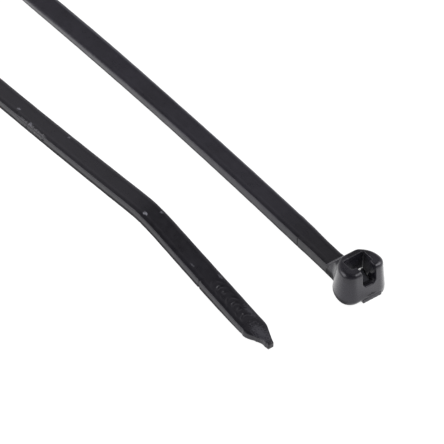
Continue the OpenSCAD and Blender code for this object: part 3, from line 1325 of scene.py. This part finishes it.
@dataclass(frozen=True)
class StrapMarks:
    """Painted shade and highlight, and dull, pale and rubbed places of the strap, along it and round its section
    from the channel's middle.
    """

    # Painted contact shade along the strap's lower edges; in the tail's strand it reaches higher up the side.
    foot: Span = (2.06, 2.30, 0.0, 0.75)
    foot_shade_rise: Span = (90.0, 110.0, 0.0, 0.24)
    seam_s: float = 4.97
    seam_half: Span = (0.03, 0.10, 0.85, 0.0)
    seam_side: Span = (-1.30, -1.12, 1.0, 0.0)
    # The strap is darker beside the neck, and darker over the tail's strand, which is painted shade.
    tone_neck: Span = (1.0, 15.0, 0.25, 0.98)
    tail_shade: Span = (90.0, 110.0, 1.0, 0.52)
    # Painted highlight: a pale band on the rail that faces away from the camera, on whichever side of the strap
    # that is in each strand.
    far_side_swap: Span = (80.0, 90.0, 1.0, -1.0)
    far_rail_in: Span = (1.02, 1.16, 0.0, 1.0)
    far_rail_out: Span = (1.24, 1.34, 1.0, 0.0)
    far_rail_highlight: Span = (64.0, 100.0, 0.26, 0.12)
    rub_scale: Point = (0.7, 11.0, 1.0)
    rub: Span = (0.58, 0.76, 0.0, 0.05)
    # Colour of the scuffs and the rubbing, and of the painted highlight and sheen.
    scuff_and_sheen: Colour = (0.30, 0.30, 0.34, 1)
    scuff_rough: float = 0.3


@dataclass(frozen=True)
class SteelMarks:
    """Lengthwise lines of the barb and a painted glint on its ground tip, which is cut off at a slant and fades to
    both sides.
    """

    line_scale: Point = (1.5, 40.0, 1.5)
    rough_less: float = 0.08
    rough_more: float = 0.1
    slant: float = 0.22
    tip: Span = (0.34, 0.55, 1.0, 0.0)
    left: Span = (-0.22, -0.02, 0.12, 1.0)
    right: Span = (0.08, 0.2, 1.0, 0.45)
    # Painted glint: the pale colour of the ground tip.
    tip_glint: Colour = (0.62, 0.62, 0.61, 1)


@dataclass
class Materials:
    """Makes the procedural materials from shared node groups."""

    tip: float
    on_head: HeadMarks = HeadMarks()
    on_strap: StrapMarks = StrapMarks()
    on_steel: SteelMarks = SteelMarks()
    groups: dict[str, bpy.types.NodeTree] = field(default_factory=dict)

    def __post_init__(self) -> None:
        """Make the shared groups."""
        self._moulded()
        self._speck()

    def _group(
        self, name: str, inputs: tuple[str, ...], outputs: tuple[str, ...]
    ) -> tuple[Graph, "bpy.types.bpy_prop_collection"]:
        """Start a node group.

        Args:
            name: Name of the group.
            inputs: Names of its vector inputs.
            outputs: Names of its float outputs.

        Returns:
            The group's graph and its inputs by name.
        """
        tree = self.groups[name] = bpy.data.node_groups.new(name, "ShaderNodeTree")
        for label in inputs:
            tree.interface.new_socket(label, in_out="INPUT", socket_type="NodeSocketVector")
        for label in outputs:
            tree.interface.new_socket(label, in_out="OUTPUT", socket_type="NodeSocketFloat")
        g = Graph(tree)
        return g, g.add("NodeGroupInput").outputs

    def _moulded(self) -> None:
        """Group for a moulded surface: slow tone, uneven gloss and fine texture from Object coordinates."""
        g, start = self._group("moulded_surface", ("Vector",), ("Tone", "Gloss", "Height"))
        cloud = g.noise(start["Vector"], 0.22, 3.0)
        patch = g.noise(start["Vector"], 1.1, 4.0, 0.6)
        grain = g.noise(start["Vector"], 6.5, 3.0, 0.6)
        fine = g.noise(start["Vector"], 22.0)
        tone = g.math("ADD", g.swing(cloud, 0.14), g.swing(patch, 0.10))
        gloss = g.math("ADD", g.swing(patch, 0.05), g.swing(grain, 0.04))
        height = g.math("ADD", g.product(grain, 0.7), g.product(fine, 0.3))
        g.add("NodeGroupOutput", {"Tone": tone, "Gloss": gloss, "Height": height})

    def _speck(self) -> None:
        """Group for one ragged spot: 1 at its middle, 0 outside an ellipse whose edge is broken by noise."""
        g, start = self._group("ragged_speck", ("Vector", "Middle", "Size"), ("Mask",))
        away = g.vector("SUBTRACT", {0: start["Vector"], 1: start["Middle"]})
        reach = g.vector("LENGTH", {0: g.vector("DIVIDE", {0: away, 1: start["Size"]})}, "Value")
        ragged = g.swing(g.noise(start["Vector"], 5.6, 3.0, 0.7), 0.6)
        g.add("NodeGroupOutput", {"Mask": g.span(g.math("ADD", reach, ragged), (0.45, 1.0, 1.0, 0.0))})

    def _spots(self, g: Graph, flat: Socket, spots: tuple[Speck, ...]) -> Socket:
        """Strongest of several spots at each place.

        Args:
            g: Graph of the material.
            flat: Coordinates along and round the strap.
            spots: The spots.

        Returns:
            The strength at each place.
        """
        total: object = 0.0
        for spot in spots:
            middle, size = (self.tip - spot.q, spot.u, 0.0), (spot.half_long, spot.half_wide, 1.0)
            values = {"Vector": flat, "Middle": middle, "Size": size}
            node = g.add("ShaderNodeGroup", values, node_tree=self.groups["ragged_speck"])
            total = g.math("MAXIMUM", total, g.product(node.outputs["Mask"], spot.light))
        return total

    def _head_marks(self, g: Graph, place: Socket) -> tuple[Socket, Socket]:
        """Share of painted contact shade at the head's foot and of the dull torn groove above the gate, and the
        tone of the rest.

        The tone is 1, less on the rim and its near crest behind the notch, where it is painted shade, and more
        inside the passage, where it is painted light.

        Args:
            g: Graph of the material.
            place: Object coordinates in millimetres.

        Returns:
            The share of painted shade and dullness, and the tone.
        """
        m = self.on_head
        x, y, z = g.split(place)
        # Painted contact shade low on the head.
        foot = g.product(g.span(z, m.foot_shade_z), g.span(x, m.foot_shade_x))
        torn = g.span(g.noise(g.scaled(place, m.torn_scale), 1.0, 2.0, 0.6), m.torn)
        height = g.math("ADD", z, g.product(torn, m.torn_rise))
        groove = g.near(height, m.groove_z, m.groove_half)
        groove = g.product(groove, g.span(y, m.groove_left), g.span(y, m.groove_right), g.span(x, m.groove_x))
        # Painted shade on the rim and on the crest behind the notch.
        crest = g.product(g.span(x, m.crest_shade_x), g.span(y, m.crest_shade_y))
        rim = g.product(g.span(z, m.rim_shade_z), g.math("ADD", crest, m.rim_shade))
        # Painted light inside the passage.
        inner = g.product(g.near(x, 0.0, m.passage_light_x), g.near(y, 0.0, m.passage_light_y))
        tone = g.math("ADD", g.math("SUBTRACT", 1.0, rim), inner)
        return g.math("MAXIMUM", foot, groove), tone

    def _strap_marks(self, g: Graph, flat: Socket) -> tuple[Socket, Socket]:
        """Share of painted contact shade at the strap's lower edges and of the dull parting step, and the tone of
        the rest.

        The tone is darker beside the neck, and darker in the tail's strand, which is painted shade.

        Args:
            g: Graph of the material.
            flat: Coordinates along and round the strap.

        Returns:
            The share of painted shade and dullness, and the tone.
        """
        m = self.on_strap
        s, u, _ = g.split(flat)
        # Painted contact shade along the lower edges.
        foot = g.span(g.math("ADD", g.math("ABSOLUTE", u), g.span(s, m.foot_shade_rise)), m.foot)
        seam = g.product(g.near(s, m.seam_s, m.seam_half), g.span(u, m.seam_side))
        # The tail's strand is darkened by painted shade.
        return g.math("MAXIMUM", foot, seam), g.product(g.span(s, m.tone_neck), g.span(s, m.tail_shade))

    def _scuffs_and_sheen(self, g: Graph, flat: Socket) -> tuple[Socket, Socket]:
        """Light share of the scuffs, the lengthwise rubbing, the painted sheen on the tip and the painted highlight
        on the rail away from the camera, and share of the pits.

        Args:
            g: Graph of the material.
            flat: Coordinates along and round the strap.

        Returns:
            The light and the dark share.
        """
        m = self.on_strap
        s, u, _ = g.split(flat)
        # Painted highlight along the rail on the side away from the camera; the side swaps at the fold.
        outer = g.product(u, g.span(s, m.far_side_swap))
        edge = g.product(g.span(outer, m.far_rail_in), g.span(outer, m.far_rail_out), g.span(s, m.far_rail_highlight))
        rub = g.span(g.noise(g.scaled(flat, m.rub_scale), 1.0, 4.0, 0.65), m.rub)
        light = g.math("MAXIMUM", g.math("MAXIMUM", self._spots(g, flat, SCUFFS_AND_SHEEN), rub), edge)
        return light, self._spots(g, flat, PITS)

    @staticmethod
    def _surface(g: Graph, finish: Finish, colour: Socket, rough: Socket, height: Socket, coat: object) -> None:
        """Add the bump, the Principled shader with the finish's constants and the output.

        Args:
            g: Graph of the material.
            finish: Constants of the surface.
            colour: Base colour.
            rough: Roughness.
            height: Height of the bump.
            coat: Weight of the coat.
        """
        bump = {"Strength": finish.bump, "Distance": finish.bump_depth * MM, "Height": height}
        values = {
            "Base Color": colour,
            "Roughness": rough,
            "Metallic": finish.metallic,
            "IOR": finish.ior,
            "Specular IOR Level": finish.specular,
            "Specular Tint": finish.tint,
            "Coat Weight": coat,
            "Coat Roughness": finish.coat_roughness,
            "Normal": g.add("ShaderNodeBump", bump).outputs[0],
        }
        shader = g.add("ShaderNodeBsdfPrincipled", values)
        g.add("ShaderNodeOutputMaterial", {"Surface": shader.outputs[0]})

    def nylon(self, finish: Finish, is_strap: bool) -> bpy.types.Material:
        """Black nylon with a mould grain and a soft, uneven gloss.

        The colour is the finish's times the mould's tone, the marks' tone and the undarkened share; these carry
        painted shade at the foot, on the rim and in the tail's strand, and painted light in the head's passage.
        Dull places are rougher. The head has a coat that grows towards grazing angles.

        Args:
            finish: Constants of the surface.
            is_strap: True for the strap, which has its own marks, the scuffs, the pits, the lengthwise rubbing, and
                a painted highlight and sheen; otherwise the head's marks are used.

        Returns:
            The material.
        """
        material = bpy.data.materials.new(finish.name)
        g = Graph.of(material)
        place = g.place()
        mould = g.add("ShaderNodeGroup", {"Vector": place}, node_tree=self.groups["moulded_surface"]).outputs
        flat = g.flat() if is_strap else None
        # The marks carry painted shade and, inside the head's passage, painted light.
        shade_and_dull, tone = self._strap_marks(g, flat) if is_strap else self._head_marks(g, place)
        undarkened = g.math("SUBTRACT", 1.0, shade_and_dull)
        scale = g.product(g.math("ADD", mould["Tone"], 1.0), tone, undarkened)
        colour = g.vector("SCALE", {0: finish.colour, "Scale": scale})
        rough = g.math("ADD", g.math("ADD", mould["Gloss"], finish.roughness), g.product(shade_and_dull, 0.6))
        rough = g.math("MINIMUM", rough, 1.0)
        if is_strap:
            light, dark = self._scuffs_and_sheen(g, flat)
            colour = g.vector("ADD", {0: colour, 1: g.blend(light, (0, 0, 0, 1), self.on_strap.scuff_and_sheen)})
            colour = g.vector("SCALE", {0: colour, "Scale": g.math("SUBTRACT", 1.0, dark)})
            worn = g.product(g.math("MAXIMUM", light, dark), self.on_strap.scuff_rough)
            rough = g.math("MINIMUM", g.math("ADD", rough, worn), 1.0)
        coat: object = 0.0
        if finish.coat > 0:
            facing = g.add("ShaderNodeLayerWeight", {"Blend": 0.5}).outputs["Facing"]
            reach = (*finish.coat_facing, finish.coat * 0.5, finish.coat * 2)
            # The coat follows the same painted shade and light.
            coat = g.product(g.span(facing, reach), tone, undarkened)
        self._surface(g, finish, colour, rough, mould["Height"], coat)
        return material

    def steel(self) -> bpy.types.Material:
        """Spring steel with fine lengthwise lines, near-black as painted shade, and a painted glint on its ground
        tip.

        Returns:
            The material.
        """
        f, m = Palette.STEEL.value, self.on_steel
        material = bpy.data.materials.new(f.name)
        g = Graph.of(material)
        place = g.place()
        lines = g.noise(g.scaled(place, m.line_scale), 1.0, 3.0)
        rough = g.span(lines, (0.25, 0.75, f.roughness - m.rough_less, f.roughness + m.rough_more))
        x, y, _ = g.split(place)
        # Painted glint: a pale patch of colour on the ground tip, cut off at a slant.
        tip = g.span(g.math("ADD", x, g.product(y, m.slant)), m.tip)
        tip_glint = g.product(tip, g.span(y, m.left), g.span(y, m.right))
        colour = g.blend(tip_glint, (*f.colour, 1), m.tip_glint)
        self._surface(g, f, colour, rough, lines, f.coat)
        return material


# ---- studio


@dataclass(frozen=True)
class CameraSetup:
    """Viewpoint of the photograph."""

    place: Point = (93.2424, -82.0271, 126.6303)
    aim: Point = (-16.2782, -5.6740, 0.0)
    lens: float = 136.873
    sensor: float = 36.0
    near: float = 10.0
    far: float = 10000.0


@dataclass(frozen=True)
class Softbox:
    """Square area lamp that faces the origin; its power is in watts."""

    name: str
    place: Point
    size: float
    power: float


@dataclass(frozen=True)
class TableLook:
    """White table top: its own glow, what the camera and glossy surfaces see of it, and its shade."""

    half: float = 1500.0
    drop: float = 0.01
    glow: float = 0.72
    camera_glow: float = 0.20
    pool: Span = (4.0, 7.0, 0.0, 0.42)
    pool_slope: float = 1.6
    cloud_scale: Point = (0.04, 0.04, 0.04)
    shade: Span = (0.3, 0.7, 0.74, 0.76)
    seen_drop: float = 0.42


@dataclass(frozen=True)
class DomeLook:
    """Grey dome: strength by the height of the direction, and its share on the camera's side."""

    horizon: float = 0.86
    fall: float = 0.77
    least: float = 0.13
    side: Point = (0.82, -0.57, 0.0)
    side_share: Span = (-0.1, 0.6, 1.0, 0.35)
    tint: Colour = (0.98, 0.96, 1.0, 1)


@dataclass
class Studio:
    """White table, two softboxes, pale dome and camera."""

    camera: CameraSetup = CameraSetup()
    table: TableLook = TableLook()
    dome: DomeLook = DomeLook()
    lamps: tuple[Softbox, ...] = (
        Softbox("right_softbox", (187.0, 324.0, 331.0), 300.0, 1.15),
        Softbox("left_softbox", (-236.0, -378.0, 227.0), 330.0, 0.86),
    )

    def build(self) -> None:
        """Make the whole studio."""
        self._camera()
        self._table()
        for lamp in self.lamps:
            self._lamp(lamp)
        self._dome()

    @staticmethod
    def _stand(name: str, data: bpy.types.ID, place: Point, aim: Point = (0.0, 0.0, 0.0)) -> bpy.types.Object:
        """Link an object that stands at a place and looks at its aim.

        Args:
            name: Name of the object.
            data: Its camera or light.
            place: Where it stands.
            aim: Where it looks.

        Returns:
            The object.
        """
        thing = bpy.data.objects.new(name, data)
        start = Vector(place) * MM
        thing.location = start
        thing.rotation_euler = (Vector(aim) * MM - start).to_track_quat("-Z", "Y").to_euler()
        bpy.context.scene.collection.objects.link(thing)
        return thing

    def _camera(self) -> None:
        """Camera on the line from its place to its aim."""
        c = self.camera
        data = bpy.data.cameras.new("photo_camera")
        data.lens = c.lens
        data.sensor_width = c.sensor
        data.clip_start = c.near * MM
        data.clip_end = c.far * MM
        bpy.context.scene.camera = self._stand("photo_camera", data, c.place, c.aim)

    def _lamp(self, lamp: Softbox) -> None:
        """Square area lamp.

        Args:
            lamp: Name, place, size and power.
        """
        data = bpy.data.lights.new(lamp.name, "AREA")
        data.shape = "SQUARE"
        data.size = lamp.size * MM
        data.energy = lamp.power
        self._stand(lamp.name, data, lamp.place)

    def _table(self) -> None:
        """Flat white table top: a matte part and a glow of its own.

        The camera sees a little more glow than the part does, so that the bare table is white; glossy surfaces
        see a brighter pool of it in front of the head. To camera and glossy rays the matte part is darker by
        seen_drop, which keeps the shadow faint; diffuse rays see it pale, so it lights the part from below.
        """
        t = self.table
        corners = np.array([[-1, -1], [1, -1], [1, 1], [-1, 1]]) * t.half
        points = np.column_stack([corners, np.full(4, -t.drop)])
        table = MeshMaker.make("table_top", points, np.array([[0, 1, 2, 3]]))
        material = bpy.data.materials.new("white_table")
        g = Graph.of(material)
        ray = g.add("ShaderNodeLightPath").outputs
        seen = g.math("MAXIMUM", ray["Is Camera Ray"], ray["Is Glossy Ray"])
        seen = g.math("MAXIMUM", seen, ray["Is Transmission Ray"])
        place = g.place()
        x, y, _ = g.split(place)
        ahead = g.math("ADD", x, g.product(y, t.pool_slope))
        pool = g.product(g.span(ahead, t.pool), ray["Is Glossy Ray"])
        glow = g.math("ADD", t.glow, g.product(ray["Is Camera Ray"], t.camera_glow))
        shade = g.span(g.noise(g.scaled(place, t.cloud_scale), 1.0, 3.0), t.shade)
        tone = g.math("SUBTRACT", shade, g.product(seen, t.seen_drop))
        colour = g.add("ShaderNodeCombineColor", {0: tone, 1: tone, 2: tone}).outputs[0]
        matte = g.add("ShaderNodeBsdfDiffuse", {"Color": colour}).outputs[0]
        light = g.add("ShaderNodeEmission", {"Color": (1, 1, 1, 1), "Strength": g.math("ADD", glow, pool)})
        both = g.add("ShaderNodeAddShader", {0: matte, 1: light.outputs[0]})
        g.add("ShaderNodeOutputMaterial", {"Surface": both.outputs[0]})
        table.data.materials.append(material)

    def _dome(self) -> None:
        """World: white to the camera; to the rest a grey dome, paler near the horizon, dark behind the camera."""
        d = self.dome
        world = bpy.data.worlds.new("pale_dome")
        bpy.context.scene.world = world
        g = Graph.of(world)
        way = g.add("ShaderNodeTexCoord").outputs["Generated"]
        _, _, height = g.split(way)
        level = g.math("MAXIMUM", g.math("SUBTRACT", d.horizon, g.product(height, d.fall)), d.least)
        behind = g.vector("DOT_PRODUCT", {0: way, 1: d.side}, "Value")
        level = g.product(level, g.span(behind, d.side_share))
        camera = g.add("ShaderNodeLightPath").outputs["Is Camera Ray"]
        strength = g.add("ShaderNodeMix", {0: camera, 2: level, 3: 1.0}, data_type="FLOAT").outputs[0]
        colour = g.blend(camera, d.tint, (1, 1, 1, 1))
        back = g.add("ShaderNodeBackground", {"Color": colour, "Strength": strength})
        g.add("ShaderNodeOutputWorld", {"Surface": back.outputs[0]})


# ---- build


@dataclass
class CableTie:
    """The whole tie: the moulding's strap and head, and the barb."""

    strap: StrapSizes = StrapSizes()
    head: HeadSizes = HeadSizes()
    lie: RouteSizes = RouteSizes()
    barb: BarbSizes = BarbSizes()

    def build(self) -> None:
        """Make the three pieces, give them their materials and let them stand for the solids."""
        route = Route(self.strap, self.head, self.lie)
        materials = Materials(route.length)
        strap_nylon = materials.nylon(Palette.STRAP.value, True)
        head_nylon = materials.nylon(Palette.HEAD.value, False)
        steel = materials.steel()
        strap = StrapSkin(route).build("tie_strap")
        head = HeadSkin(self.head, self.strap, route).build("tie_head")
        barb = BarbSkin(self.barb, self.head).build("barb_blade")
        plan = (
            (strap, strap_nylon, "tie_body", "black_nylon"),
            (head, head_nylon, "tie_body", "black_nylon"),
            (barb, steel, "locking_barb", "spring_steel"),
        )
        for piece, material, node, slot in plan:
            piece.data.materials.append(material)
            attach(piece, "root")
            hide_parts(node)
            LOG.info("%s: %d faces", piece.name, len(piece.data.polygons))


def main() -> None:
    """Build the studio and the tie in order."""
    logging.basicConfig(level=logging.INFO, format="%(name)s: %(message)s")
    bpy.context.scene.view_settings.view_transform = "Standard"
    Studio().build()
    CableTie().build()


if __name__ == "__main__":
    main()
